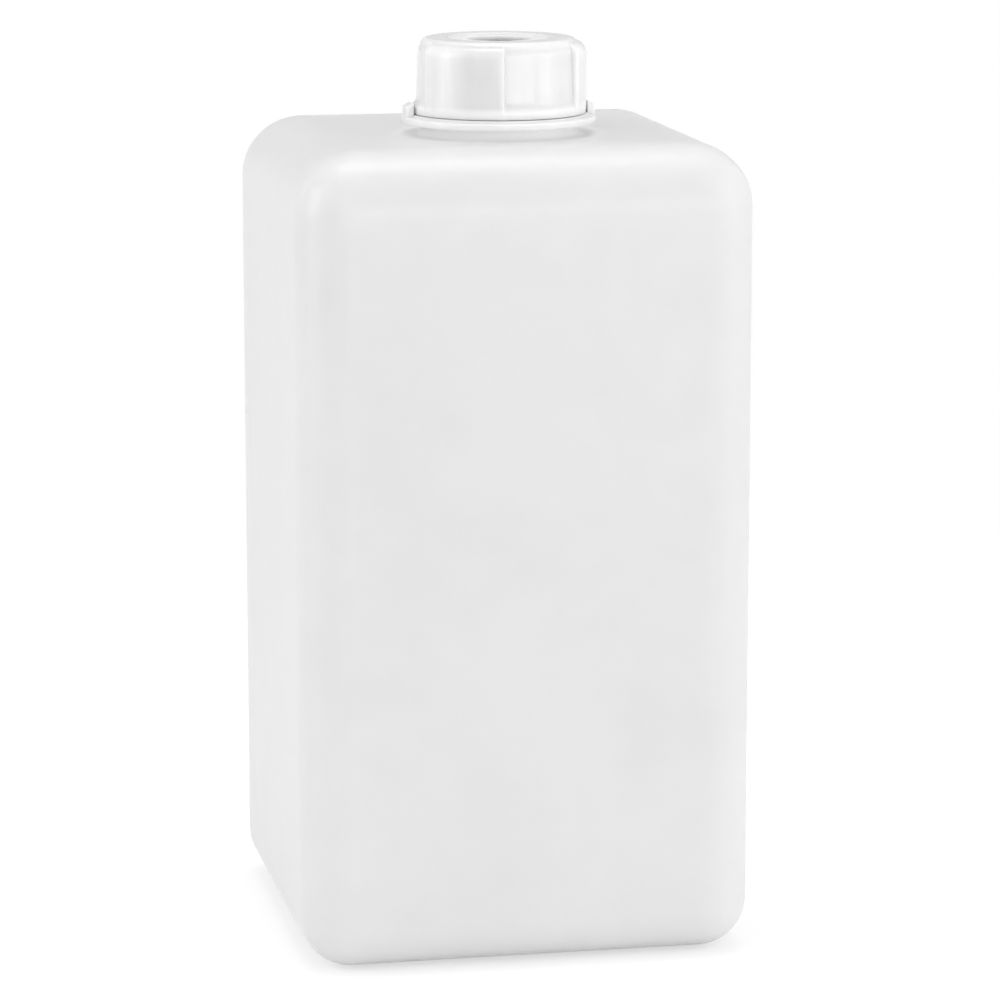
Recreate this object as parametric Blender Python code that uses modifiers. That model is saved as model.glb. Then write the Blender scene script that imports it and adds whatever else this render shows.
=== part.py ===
"""A square one-litre dispenser bottle with a narrow screw neck, its screw cap and the disc that seals it.

Sizes are in metres, +Z is up, and the front of the bottle faces -Y. The origin is the middle of the base,
on the surface that the bottle stands on.
"""
import math

import bmesh
import bpy

# Body: a blown box with soft edges, a little higher than two cubes of its own width
BODY_WIDTH = 0.0870
BODY_DEPTH = 0.0850
BODY_HEIGHT = 0.1555
UPRIGHT_EDGE_RADIUS = 0.0096
TOP_EDGE_RADIUS = 0.0119
BASE_EDGE_RADIUS = 0.0096
WALL = 0.0011

# Base: a low foot ring with round corners, and inside it a panel that is pushed up
FOOT_HEIGHT = 0.0004
FOOT_INSET = 0.0006
FOOT_WIDTH = 0.0045
FOOT_CORNER_RADIUS = 0.0065
PANEL_MARGIN = 0.0004
PANEL_PUSH_UP = 0.0016
PANEL_SLOPE = 0.0030

# Neck: it stands forward of the middle of the top
NECK_FORWARD = 0.0086
NECK_RADIUS = 0.0125
NECK_WALL = 0.0018
NECK_LIP_CHAMFER = 0.0005
ROOT_FLARE = 0.0021
ROOT_FILLET = 0.0028
ROOT_SINK = 0.0002
BORE_BREAKTHROUGH = 0.0044

# Collar under the cap, with a lug on each side where the two halves of the mould met
COLLAR_THICKNESS = 0.0014
COLLAR_LIFT = 0.0021
COLLAR_EDGE = 0.0003
LUG_WIDTH = 0.0046
LUG_THICKNESS = 0.00125
LUG_HEIGHT = 0.0019
LUG_RISE = 0.0007
LUG_CLEARANCE = 0.0003

# Thread of neck and cap. The neck is as tall as its thread and the plain lengths below and above it need.
THREAD_PITCH = 0.0042
THREAD_DEPTH = 0.0011
THREAD_FOOT = 0.0021
THREAD_CREST = 0.0007
NECK_THREAD_TURNS = 1.5
CAP_THREAD_TURNS = 1.25
PLAIN_BELOW_THREAD = 0.0028
PLAIN_ABOVE_THREAD = 0.0011
THREAD_RUN_OUT = math.radians(25)
THREAD_SINK = 0.0003
THREAD_FLANK_CLEARANCE = 0.0003
THREAD_RADIAL_CLEARANCE = 0.0004

# Cap: three broad grips stand out from a skirt that widens downwards
CAP_TOP_PLATE = 0.0013
CAP_SKIRT_WALL = 0.0015
CAP_SKIRT_DRAFT = 0.0004
CAP_RIM_STEP_IN = 0.0005
CAP_RIM_STEP_DROP = 0.0021
CAP_SHOULDER_RADIUS = 0.0014
CAP_BEAD_OUT = 0.0007
CAP_BEAD_HEIGHT = 0.0019
CAP_BEAD_EDGE = 0.0004
CAP_HOLE_RADIUS = 0.0061
CAP_TARGET_RADIUS = 0.0096
CAP_TARGET_DROP = 0.00025
GRIP_OUT = 0.0012
GRIP_ANGLE = math.radians(61)
GRIP_MIDDLE = math.radians(-8)
GRIP_COUNT = 3
GRIP_TOP_DROP = 0.0013
GRIP_TOP_ROUND = 0.0016
CAP_TO_COLLAR_GAP = 0.0005

# Disc that seals the mouth inside the cap, soft enough for a dip tube to be pushed through
SEAL_THICKNESS = 0.0008
SEAL_RIM_CLEARANCE = 0.0003
SEAT_GAP = 0.0002

# Fineness of the round shapes
ROUND_STEPS = 72
ARC_STEPS = 5
BEVEL_SEGMENTS = 7
THREAD_STEPS_PER_TURN = 36
SHARP_ANGLE = math.radians(35)

# Heights that follow from the sizes above
BODY_TOP = FOOT_HEIGHT + BODY_HEIGHT
COLLAR_BOTTOM = BODY_TOP + COLLAR_LIFT
COLLAR_TOP = COLLAR_BOTTOM + COLLAR_THICKNESS
NECK_RIDGE_START = COLLAR_TOP + PLAIN_BELOW_THREAD + 0.5 * THREAD_FOOT
NECK_RIDGE_END = NECK_RIDGE_START + NECK_THREAD_TURNS * THREAD_PITCH
NECK_TOP = NECK_RIDGE_END + 0.5 * THREAD_FOOT + PLAIN_ABOVE_THREAD
SEAL_BOTTOM = NECK_TOP + SEAT_GAP
SEAL_TOP = SEAL_BOTTOM + SEAL_THICKNESS
CAP_CEILING = SEAL_TOP + SEAT_GAP
CAP_TOP = CAP_CEILING + CAP_TOP_PLATE
CAP_BOTTOM = COLLAR_TOP + CAP_TO_COLLAR_GAP

# Radii that follow, from the neck outwards
NECK_AXIS = (0.0, -NECK_FORWARD)
NECK_BORE_RADIUS = NECK_RADIUS - NECK_WALL
ROOT_RADIUS = NECK_RADIUS + ROOT_FLARE
CAP_BORE_RADIUS = NECK_RADIUS + THREAD_DEPTH + THREAD_RADIAL_CLEARANCE
CAP_SKIRT_TOP_RADIUS = CAP_BORE_RADIUS + CAP_SKIRT_WALL
CAP_SKIRT_BOTTOM_RADIUS = CAP_SKIRT_TOP_RADIUS + CAP_SKIRT_DRAFT
CAP_RIM_RADIUS = CAP_SKIRT_TOP_RADIUS - CAP_RIM_STEP_IN
CAP_BEAD_RADIUS = CAP_SKIRT_BOTTOM_RADIUS + CAP_BEAD_OUT
GRIP_RADIUS = CAP_SKIRT_TOP_RADIUS + GRIP_OUT
LUG_INNER_RADIUS = max(CAP_BEAD_RADIUS, GRIP_RADIUS) + LUG_CLEARANCE
LUG_OUTER_RADIUS = LUG_INNER_RADIUS + LUG_THICKNESS
COLLAR_RADIUS = LUG_OUTER_RADIUS + COLLAR_EDGE


def clear_scene():
    for old in list(bpy.data.objects):
        bpy.data.objects.remove(old, do_unlink=True)


def collection(name):
    made = bpy.data.collections.new(name)
    bpy.context.scene.collection.children.link(made)
    return made


def plastic(name, colour, roughness):
    """A Principled BSDF for a milky plastic."""
    made = bpy.data.materials.new(name)
    made.use_nodes = True
    shader = made.node_tree.nodes["Principled BSDF"]
    shader.inputs["Base Color"].default_value = (*colour, 1.0)
    shader.inputs["Roughness"].default_value = roughness
    shader.inputs["Metallic"].default_value = 0.0
    return made


def new_object(name, mesh, home):
    made = bpy.data.objects.new(name, mesh)
    home.objects.link(made)
    return made


def mesh_from(bm, name):
    bmesh.ops.recalc_face_normals(bm, faces=bm.faces)
    mesh = bpy.data.meshes.new(name)
    bm.to_mesh(mesh)
    bm.free()
    return mesh


def evaluated_mesh(obj, name):
    """The mesh of an object with its modifiers carried out."""
    bpy.context.view_layer.update()
    graph = bpy.context.evaluated_depsgraph_get()
    mesh = bpy.data.meshes.new_from_object(obj.evaluated_get(graph))
    mesh.name = name
    return mesh


def as_cutter(obj):
    obj.hide_render = True
    obj.display_type = "WIRE"
    return obj


def add_boolean(obj, other, operation):
    step = obj.modifiers.new(f"{operation.lower()} {other.name}", "BOOLEAN")
    step.operation = operation
    step.solver = "EXACT"
    step.object = other
    return step


def arc(centre_r, centre_z, radius, start, end):
    """Points of an arc in the plane of a profile, from one angle to another, in degrees."""
    angles = [math.radians(start + (end - start) * i / ARC_STEPS) for i in range(ARC_STEPS + 1)]
    return [(centre_r + radius * math.cos(a), centre_z + radius * math.sin(a)) for a in angles]


def turned(name, profile, home):
    """A closed profile of (radius, height) points, turned about the neck's axis with a Screw modifier."""
    bm = bmesh.new()
    points = [bm.verts.new((radius, 0.0, height)) for radius, height in profile]
    for first, second in zip(points, points[1:] + points[:1]):
        bm.edges.new((first, second))
    mesh = bpy.data.meshes.new(name)
    bm.to_mesh(mesh)
    bm.free()
    made = new_object(name, mesh, home)
    made.location = (*NECK_AXIS, 0.0)
    screw = made.modifiers.new("turn", "SCREW")
    screw.axis = "Z"
    screw.steps = ROUND_STEPS
    screw.render_steps = ROUND_STEPS
    screw.use_merge_vertices = True
    screw.merge_threshold = 0.00001
    return made


def thread(name, foot_radius, outward, first_height, turns, home):
    """A helical ridge on a wall of the given radius, standing out from it or in from it.

    Its section is a blunt wedge that sinks into the wall, and it fades to nothing at both ends.
    """
    way = 1.0 if outward else -1.0
    steps = round(turns * THREAD_STEPS_PER_TURN)
    bm = bmesh.new()
    rings = []
    for step in range(steps + 1):
        turn = 2.0 * math.pi * turns * step / steps
        from_end = min(turn, 2.0 * math.pi * turns - turn)
        fade = min(1.0, from_end / THREAD_RUN_OUT)
        crest = foot_radius + way * (THREAD_DEPTH * fade - 0.5 * THREAD_SINK * (1.0 - fade))
        foot = foot_radius - way * THREAD_SINK
        height = first_height + THREAD_PITCH * turn / (2.0 * math.pi)
        section = (
            (foot, -0.5 * THREAD_FOOT),
            (crest, -0.5 * THREAD_CREST),
            (crest, 0.5 * THREAD_CREST),
            (foot, 0.5 * THREAD_FOOT),
        )
        rings.append(
            [
                bm.verts.new((radius * math.cos(turn), radius * math.sin(turn), height + rise))
                for radius, rise in section
            ]
        )
    for near, far in zip(rings, rings[1:]):
        for i in range(4):
            j = (i + 1) % 4
            bm.faces.new((near[i], near[j], far[j], far[i]))
    bm.faces.new(rings[0])
    bm.faces.new(rings[-1])
    made = new_object(name, mesh_from(bm, name), home)
    made.location = (*NECK_AXIS, 0.0)
    return made


def block(width, depth, low, high):
    """A plain box in a new bmesh, between two heights."""
    bm = bmesh.new()
    bmesh.ops.create_cube(bm, size=1.0)
    bmesh.ops.scale(bm, vec=(width, depth, high - low), verts=bm.verts)
    bmesh.ops.translate(bm, vec=(0.0, 0.0, 0.5 * (low + high)), verts=bm.verts)
    return bm


def is_upright(edge):
    return edge.verts[0].co.xy == edge.verts[1].co.xy


def blown_body(name, home, cutters):
    """The box of the bottle as a thin closed shell, soft at every edge, with its base pushed up."""
    bm = block(BODY_WIDTH, BODY_DEPTH, FOOT_HEIGHT, BODY_TOP)
    widest = max(UPRIGHT_EDGE_RADIUS, TOP_EDGE_RADIUS, BASE_EDGE_RADIUS)
    weight = bm.edges.layers.float.new("bevel_weight_edge")
    for edge in bm.edges:
        if is_upright(edge):
            radius = UPRIGHT_EDGE_RADIUS
        elif edge.verts[0].co.z > 0.5 * BODY_TOP:
            radius = TOP_EDGE_RADIUS
        else:
            radius = BASE_EDGE_RADIUS
        edge[weight] = radius / widest
    box = new_object("rounded_box", mesh_from(bm, "rounded_box"), cutters)
    bevel = box.modifiers.new("soft edges", "BEVEL")
    bevel.limit_method = "WEIGHT"
    bevel.width = widest
    bevel.segments = BEVEL_SEGMENTS
    rounded = evaluated_mesh(box, name)
    bpy.data.objects.remove(box, do_unlink=True)

    bm = bmesh.new()
    bm.from_mesh(rounded)
    base = min(bm.faces, key=lambda face: face.calc_center_median().z)
    rim = FOOT_INSET + FOOT_WIDTH + PANEL_MARGIN
    bmesh.ops.inset_region(bm, faces=[base], thickness=rim, use_even_offset=True)
    bmesh.ops.inset_region(bm, faces=[base], thickness=PANEL_SLOPE, use_even_offset=True)
    bmesh.ops.translate(bm, vec=(0.0, 0.0, PANEL_PUSH_UP), verts=base.verts)
    bm.to_mesh(rounded)
    bm.free()
    made = new_object(name, rounded, home)
    shell = made.modifiers.new("wall", "SOLIDIFY")
    shell.thickness = WALL
    shell.offset = -1.0
    shell.use_even_offset = True
    return made


def foot_block(name, inset, corner_radius, low, high, home):
    """A low block under the base, with round corners, set in from where the base's edge turns flat."""
    width = BODY_WIDTH - 2.0 * (BASE_EDGE_RADIUS + inset)
    depth = BODY_DEPTH - 2.0 * (BASE_EDGE_RADIUS + inset)
    bm = block(width, depth, low, high)
    upright = [edge for edge in bm.edges if is_upright(edge)]
    bmesh.ops.bevel(
        bm, geom=upright, offset=corner_radius, segments=BEVEL_SEGMENTS, profile=0.5, affect="EDGES"
    )
    return as_cutter(new_object(name, mesh_from(bm, name), home))


def foot_ring(home):
    """The ring that the bottle stands on, half of the wall deep in the base."""
    high = FOOT_HEIGHT + 0.5 * WALL
    ring = foot_block("foot_ring", FOOT_INSET, FOOT_CORNER_RADIUS, 0.0, high, home)
    inner_radius = max(FOOT_CORNER_RADIUS - FOOT_WIDTH, FOOT_HEIGHT)
    core = foot_block("foot_core", FOOT_INSET + FOOT_WIDTH, inner_radius, -FOOT_HEIGHT, BODY_TOP, home)
    add_boolean(ring, core, "DIFFERENCE")
    return ring


def neck_profile():
    """Down the outside of the neck from its lip, round the collar, into the body's top and up the bore."""
    inside_wall = BODY_TOP - 0.5 * WALL
    lip = [(NECK_RADIUS - NECK_LIP_CHAMFER, NECK_TOP), (NECK_RADIUS, NECK_TOP - NECK_LIP_CHAMFER)]
    collar = [
        (NECK_RADIUS, COLLAR_TOP),
        (COLLAR_RADIUS - COLLAR_EDGE, COLLAR_TOP),
        (COLLAR_RADIUS, COLLAR_TOP - COLLAR_EDGE),
        (COLLAR_RADIUS, COLLAR_BOTTOM + COLLAR_EDGE),
        (COLLAR_RADIUS - COLLAR_EDGE, COLLAR_BOTTOM),
    ]
    fillet_height = min(ROOT_FILLET, COLLAR_LIFT + ROOT_SINK)
    fillet_centre = (ROOT_RADIUS + fillet_height, BODY_TOP + fillet_height - ROOT_SINK)
    root = arc(*fillet_centre, fillet_height, 180, 270)
    foot = [(ROOT_RADIUS + fillet_height, inside_wall), (NECK_BORE_RADIUS, inside_wall)]
    bore = [(NECK_BORE_RADIUS, NECK_TOP)]
    return lip + collar + root + foot + bore


def lug(name, side, home):
    """A small ear on the collar, whose top rises towards the cap."""
    foot = COLLAR_TOP - 0.5 * COLLAR_THICKNESS
    outline = (
        (LUG_INNER_RADIUS, foot),
        (LUG_OUTER_RADIUS, foot),
        (LUG_OUTER_RADIUS, COLLAR_TOP + LUG_HEIGHT),
        (LUG_INNER_RADIUS, COLLAR_TOP + LUG_HEIGHT + LUG_RISE),
    )
    bm = bmesh.new()
    face = bm.faces.new(
        [bm.verts.new((side * radius, -0.5 * LUG_WIDTH, height)) for radius, height in outline]
    )
    grown = bmesh.ops.extrude_face_region(bm, geom=[face])
    tips = [item for item in grown["geom"] if isinstance(item, bmesh.types.BMVert)]
    bmesh.ops.translate(bm, vec=(0.0, LUG_WIDTH, 0.0), verts=tips)
    made = new_object(name, mesh_from(bm, name), home)
    made.location = (*NECK_AXIS, 0.0)
    return as_cutter(made)


def build_bottle(home, cutters, material):
    """Body, neck, collar, lugs and thread are blown and moulded in one piece."""
    shell = blown_body("bottle", home, cutters)
    shell.data.materials.append(material)
    drill_tip = BODY_TOP - BORE_BREAKTHROUGH
    drill = turned(
        "bore_drill",
        [
            (NECK_BORE_RADIUS, NECK_TOP),
            (NECK_BORE_RADIUS, drill_tip),
            (0.0, drill_tip),
            (0.0, NECK_TOP),
        ],
        cutters,
    )
    neck = turned("neck_ring", neck_profile(), cutters)
    ridge = thread("neck_ridge", NECK_RADIUS, True, NECK_RIDGE_START, NECK_THREAD_TURNS, cutters)
    add_boolean(shell, foot_ring(cutters), "UNION")
    add_boolean(shell, as_cutter(drill), "DIFFERENCE")
    add_boolean(shell, as_cutter(neck), "UNION")
    add_boolean(shell, as_cutter(ridge), "UNION")
    for side, name in ((-1.0, "lug_left"), (1.0, "lug_right")):
        add_boolean(shell, lug(name, side, cutters), "UNION")
    return shell


def cap_profile():
    """Down the outside of the cap from its hole to its bead, and up the inside of its skirt."""
    target = [
        (CAP_HOLE_RADIUS, CAP_TOP - CAP_TARGET_DROP),
        (CAP_TARGET_RADIUS, CAP_TOP - CAP_TARGET_DROP),
        (CAP_TARGET_RADIUS + CAP_TARGET_DROP, CAP_TOP),
    ]
    shoulder = arc(
        CAP_RIM_RADIUS - CAP_SHOULDER_RADIUS, CAP_TOP - CAP_SHOULDER_RADIUS, CAP_SHOULDER_RADIUS, 90, 0
    )
    step_height = CAP_TOP - CAP_RIM_STEP_DROP
    bead_top = CAP_BOTTOM + CAP_BEAD_HEIGHT
    skirt = [
        (CAP_RIM_RADIUS, step_height + CAP_BEAD_EDGE),
        (CAP_SKIRT_TOP_RADIUS, step_height),
        (CAP_SKIRT_BOTTOM_RADIUS, bead_top),
    ]
    bead = [
        (CAP_BEAD_RADIUS, bead_top - CAP_BEAD_EDGE),
        (CAP_BEAD_RADIUS, CAP_BOTTOM + CAP_BEAD_EDGE),
        (CAP_BEAD_RADIUS - CAP_BEAD_EDGE, CAP_BOTTOM),
    ]
    inside = [
        (CAP_BORE_RADIUS, CAP_BOTTOM),
        (CAP_BORE_RADIUS, CAP_CEILING),
        (CAP_HOLE_RADIUS, CAP_CEILING),
    ]
    return target + shoulder + skirt + bead + inside


def grip(name, middle, home):
    """One broad grip: a section with a rounded top, swept through its share of the circle."""
    top = CAP_TOP - GRIP_TOP_DROP
    inner = CAP_BORE_RADIUS + 0.5 * (CAP_SKIRT_TOP_RADIUS - CAP_BORE_RADIUS)
    foot = CAP_BOTTOM + 0.5 * CAP_BEAD_HEIGHT
    outline = [(inner, foot), (GRIP_RADIUS, foot)]
    outline += arc(GRIP_RADIUS - GRIP_TOP_ROUND, top - GRIP_TOP_ROUND, GRIP_TOP_ROUND, 0, 90)
    outline += [(inner, top)]
    start = middle - 0.5 * GRIP_ANGLE
    bm = bmesh.new()
    corners = [
        bm.verts.new((radius * math.cos(start), radius * math.sin(start), height))
        for radius, height in outline
    ]
    face = bm.faces.new(corners)
    bmesh.ops.spin(
        bm,
        geom=[face],
        cent=(0.0, 0.0, 0.0),
        axis=(0.0, 0.0, 1.0),
        angle=GRIP_ANGLE,
        steps=round(ROUND_STEPS * GRIP_ANGLE / (2.0 * math.pi)),
        use_duplicate=False,
    )
    made = new_object(name, mesh_from(bm, name), home)
    made.location = (*NECK_AXIS, 0.0)
    return as_cutter(made)


def build_cap(home, cutters, material):
    """The screw cap: skirt, three grips, bead, open top plate and inside thread, moulded in one piece.

    Its thread runs just under the neck's, so that turning the cap shut pulls it down.
    """
    cap = turned("screw_cap", cap_profile(), home)
    cap.data.materials.append(material)
    for number in range(GRIP_COUNT):
        middle = GRIP_MIDDLE + 2.0 * math.pi * number / GRIP_COUNT
        add_boolean(cap, grip(f"grip_{number + 1}", middle, cutters), "UNION")
    flank_slope = 0.5 * (THREAD_FOOT - THREAD_CREST) / (THREAD_DEPTH + THREAD_SINK)
    half_widths = 0.5 * (THREAD_FOOT + THREAD_CREST) - flank_slope * (THREAD_SINK + THREAD_RADIAL_CLEARANCE)
    ridge_start = NECK_RIDGE_START - half_widths - THREAD_FLANK_CLEARANCE
    ridge = thread("cap_ridge", CAP_BORE_RADIUS, False, ridge_start, CAP_THREAD_TURNS, cutters)
    add_boolean(cap, as_cutter(ridge), "UNION")
    return cap


def build_seal(home, material):
    """A plain disc between the neck's lip and the cap."""
    bpy.ops.mesh.primitive_cylinder_add(
        vertices=ROUND_STEPS,
        radius=CAP_BORE_RADIUS - SEAL_RIM_CLEARANCE,
        depth=SEAL_THICKNESS,
        location=(*NECK_AXIS, 0.5 * (SEAL_BOTTOM + SEAL_TOP)),
    )
    seal = bpy.context.object
    seal.name = "seal_disc"
    seal.data.name = "seal_disc"
    seal.data.materials.append(material)
    for owner in list(seal.users_collection):
        owner.objects.unlink(seal)
    home.objects.link(seal)
    return seal


def shade_round(obj):
    obj.data.shade_smooth()
    obj.data.set_sharp_from_angle(angle=SHARP_ANGLE)


def main():
    clear_scene()
    parts = collection("narrow_neck_bottle")
    cutters = collection("cutters")
    milky = plastic("milky_polyethylene", (0.80, 0.80, 0.79), 0.42)
    glossy = plastic("glossy_polypropylene", (0.86, 0.86, 0.86), 0.14)
    soft = plastic("soft_seal_foam", (0.82, 0.82, 0.80), 0.60)
    bottle = build_bottle(parts, cutters, milky)
    cap = build_cap(parts, cutters, glossy)
    seal = build_seal(parts, soft)
    for piece in (bottle, cap, seal):
        shade_round(piece)


main()
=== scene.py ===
# %% [markdown]
# # A square plastic bottle with a screw cap
#
# The object is an empty one-litre refill bottle: a milky box blown from polyethylene, a narrow neck that
# stands a little forward of the middle, and a glossy screw cap with three broad grips. This lesson starts
# from the engineer's model, which knows how the cap turns, and makes the visible surfaces around it.
# Each piece is made in the place where the model has it, in metres, and then told which body it rides on.

# %% Load the frame
import math

import bmesh
import bpy
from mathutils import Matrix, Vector


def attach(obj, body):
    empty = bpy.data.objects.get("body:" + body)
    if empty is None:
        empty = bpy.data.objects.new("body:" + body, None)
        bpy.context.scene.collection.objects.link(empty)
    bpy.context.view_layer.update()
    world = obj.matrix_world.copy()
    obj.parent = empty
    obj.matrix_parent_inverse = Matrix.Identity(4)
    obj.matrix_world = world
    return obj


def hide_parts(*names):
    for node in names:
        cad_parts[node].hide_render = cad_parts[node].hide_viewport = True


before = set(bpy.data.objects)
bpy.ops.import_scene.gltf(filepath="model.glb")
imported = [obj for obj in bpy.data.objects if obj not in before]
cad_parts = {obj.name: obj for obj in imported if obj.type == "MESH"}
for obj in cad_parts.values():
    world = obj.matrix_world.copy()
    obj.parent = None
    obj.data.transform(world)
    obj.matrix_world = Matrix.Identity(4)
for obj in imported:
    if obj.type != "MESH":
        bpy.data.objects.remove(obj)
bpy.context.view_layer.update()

print("nodes:", sorted(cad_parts))

# %% [markdown]
# ## The camera
#
# The photograph looks a little down on the bottle and a little past its left edge. The camera's place,
# aim and lens were found by matching the outline of the body, so nothing has to be shifted afterwards.

# %% Camera at the photograph's angle
EYE = (-0.16294, -0.81530, 0.24318)
TURNED_RIGHT = math.radians(11.436)
TILTED_DOWN = math.radians(10.917)

lens = bpy.data.cameras.new("photo_camera")
lens.sensor_width = 36.0
lens.lens = 155.41
camera = bpy.data.objects.new("photo_camera", lens)
camera.location = EYE
camera.rotation_euler = (math.radians(90.0) - TILTED_DOWN, 0.0, -TURNED_RIGHT)
bpy.context.scene.collection.objects.link(camera)
bpy.context.scene.camera = camera
print("camera distance:", round(Vector(EYE).length, 3), "m")

# %% [markdown]
# ## Helpers for node trees
#
# A geometry tree and a material are both trees of nodes, so the same helpers build them. The first adds a
# node and joins or fills its inputs. The others add the few nodes that are needed again and again, and hand
# back the socket of their result.

# %% Helpers that build node trees
def add(tree, kind, inputs=None, **settings):
    """Add a node, set its options, and join or fill its inputs by name or number."""
    made = tree.nodes.new(kind)
    made.location = (180.0 * (len(tree.nodes) % 24), -220.0 * (len(tree.nodes) // 24))
    for name, value in settings.items():
        setattr(made, name, value)
    for key, value in (inputs or {}).items():
        if isinstance(value, bpy.types.NodeSocket):
            tree.links.new(value, made.inputs[key])
        else:
            made.inputs[key].default_value = value
    return made


def maths(tree, operation, *values):
    """One Math node, and the socket of its result."""
    return add(tree, "ShaderNodeMath", dict(enumerate(values)), operation=operation).outputs[0]


def vectors(tree, operation, *values):
    """One Vector Math node, and the socket of its result."""
    return add(tree, "ShaderNodeVectorMath", dict(enumerate(values)), operation=operation).outputs[0]


def geometry_tree(name, sizes):
    """An empty geometry tree with a Geometry socket at both ends and one named input for each size."""
    tree = bpy.data.node_groups.new(name, "GeometryNodeTree")
    tree.interface.new_socket("Geometry", in_out="INPUT", socket_type="NodeSocketGeometry")
    for label, kind in sizes.items():
        tree.interface.new_socket(label, in_out="INPUT", socket_type=kind)
    tree.interface.new_socket("Geometry", in_out="OUTPUT", socket_type="NodeSocketGeometry")
    given = tree.nodes.new("NodeGroupInput")
    return tree, given.outputs


def grid_over(tree, rows, columns):
    """A grid of points, and the row and the column of each of them."""
    grid = add(tree, "GeometryNodeMeshGrid", {"Vertices X": rows, "Vertices Y": columns}).outputs["Mesh"]
    index = add(tree, "GeometryNodeInputIndex").outputs["Index"]
    row = maths(tree, "FLOOR", maths(tree, "DIVIDE", maths(tree, "ADD", index, 0.5), columns))
    column = maths(tree, "SUBTRACT", index, maths(tree, "MULTIPLY", row, columns))
    return grid, row, column


def seed_value(tree, given, name, number):
    """The value that an attribute of the seeds has at the seed with this number."""
    stored = add(tree, "GeometryNodeInputNamedAttribute", {"Name": name}, data_type="FLOAT")
    asked = {"Geometry": given["Geometry"], "Value": stored.outputs["Attribute"], "Index": number}
    sampled = add(tree, "GeometryNodeSampleIndex", asked, data_type="FLOAT", domain="POINT")
    return sampled.outputs["Value"]


def about_axis(tree, given, turn, radius):
    """The x and y of a point at this turn and radius about the axis of the neck."""
    x = maths(tree, "MULTIPLY", maths(tree, "COSINE", turn), radius)
    y = maths(tree, "SUBTRACT", maths(tree, "MULTIPLY", maths(tree, "SINE", turn), radius), given["Forward"])
    return x, y


def eased(tree, value, low, high, to_low, to_high):
    """Map a value from one range to another, with soft ends."""
    sizes = {"Value": value, "From Min": low, "From Max": high, "To Min": to_low, "To Max": to_high}
    return add(tree, "ShaderNodeMapRange", sizes, interpolation_type="SMOOTHSTEP").outputs["Result"]


def finish_tree(tree, geometry, finish):
    """Close the seams, make instances real and give the material, as the end of a geometry tree."""
    closed = add(tree, "GeometryNodeMergeByDistance", {"Geometry": geometry, "Distance": 2e-6})
    real = add(tree, "GeometryNodeRealizeInstances", {"Geometry": closed.outputs["Geometry"]})
    dressed = add(tree, "GeometryNodeSetMaterial", {"Geometry": real.outputs["Geometry"], "Material": finish})
    add(tree, "NodeGroupOutput", {"Geometry": dressed.outputs["Geometry"]})


print("helpers ready")

# %% Helpers that turn a rule into a plain mesh
def seed_mesh(name, rows):
    """A row of loose points. Each key of the rows becomes a float attribute that a tree can read."""
    mesh = bpy.data.meshes.new(name)
    mesh.from_pydata([(0.0, 0.0, 0.001 * number) for number in range(len(rows))], [], [])
    for key in rows[0]:
        stored = mesh.attributes.new(key, "FLOAT", "POINT")
        for number, row in enumerate(rows):
            stored.data[number].value = row[key]
    return mesh


def outward(mesh):
    """Close pinholes, turn all faces outwards, and smooth all but the edges sharper than 40 degrees."""
    bm = bmesh.new()
    bm.from_mesh(mesh)
    bmesh.ops.holes_fill(bm, edges=bm.edges, sides=4)
    bmesh.ops.recalc_face_normals(bm, faces=bm.faces)
    open_edges = sum(1 for edge in bm.edges if len(edge.link_faces) != 2)
    bm.to_mesh(mesh)
    bm.free()
    mesh.shade_smooth()
    mesh.set_sharp_from_angle(angle=math.radians(40))
    return open_edges


def applied(obj):
    """Carry out the object's modifiers and keep the result as its plain mesh."""
    bpy.context.view_layer.update()
    mesh = bpy.data.meshes.new_from_object(obj.evaluated_get(bpy.context.evaluated_depsgraph_get()))
    obj.modifiers.clear()
    mesh.name = obj.name
    obj.data = mesh
    return obj


def grown(name, seeds, tree, sizes):
    """Run a geometry tree on a row of seeds, with its named inputs set before the first evaluation."""
    obj = bpy.data.objects.new(name, seeds)
    bpy.context.scene.collection.objects.link(obj)
    step = obj.modifiers.new("rule", "NODES")
    step.node_group = tree
    for socket in tree.interface.items_tree:
        if socket.in_out == "INPUT" and socket.name in sizes:
            step[socket.identifier] = sizes[socket.name]
    applied(obj)
    gaps = outward(obj.data)
    print(name, "faces:", len(obj.data.polygons), "open edges:", gaps)
    return obj


def joined_solid(obj, others):
    """Unite closed pieces with a Boolean each, so that no face is left inside the wall."""
    for other in others:
        step = obj.modifiers.new("unite " + other.name, "BOOLEAN")
        step.operation = "UNION"
        step.solver = "EXACT"
        step.object = other
    applied(obj)
    for other in others:
        bpy.data.objects.remove(other, do_unlink=True)
    gaps = outward(obj.data)
    print(obj.name, "united, faces:", len(obj.data.polygons), "open edges:", gaps)
    return obj


# %% [markdown]
# ## The milky polyethylene
#
# A blown bottle has no pigment. The plastic itself is a cloudy white that lets light in and scatters it,
# so the wall looks soft, and thick and thin places read a little lighter or darker. The mould is lightly
# blasted, which gives the satin gloss, and the two halves of the mould leave a hair line on the sides.
# The clouds, the fine grain and that line are made from noise and position in metres on the bottle itself.
# Round the neck there is more plastic in the wall and the light goes less far into it. The flat top and
# the root under the collar are painted lighter there, a painted light that fills in the collar's shadow.

# %% Milky polyethylene
NECK_FORWARD = 0.0086


def blank_material(name):
    made = bpy.data.materials.new(name)
    made.use_nodes = True
    return made, made.node_tree, made.node_tree.nodes["Principled BSDF"]


def noise(tree, point, scale, detail=2.0):
    """A grey noise pattern on the object's own coordinates."""
    sizes = {"Vector": point, "Scale": scale, "Detail": detail, "Roughness": 0.5}
    return add(tree, "ShaderNodeTexNoise", sizes).outputs["Fac"]


def varied(tree, pattern, low, high):
    """Turn the middle of a noise pattern into values between two limits."""
    return eased(tree, pattern, 0.3, 0.7, low, high)


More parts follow.
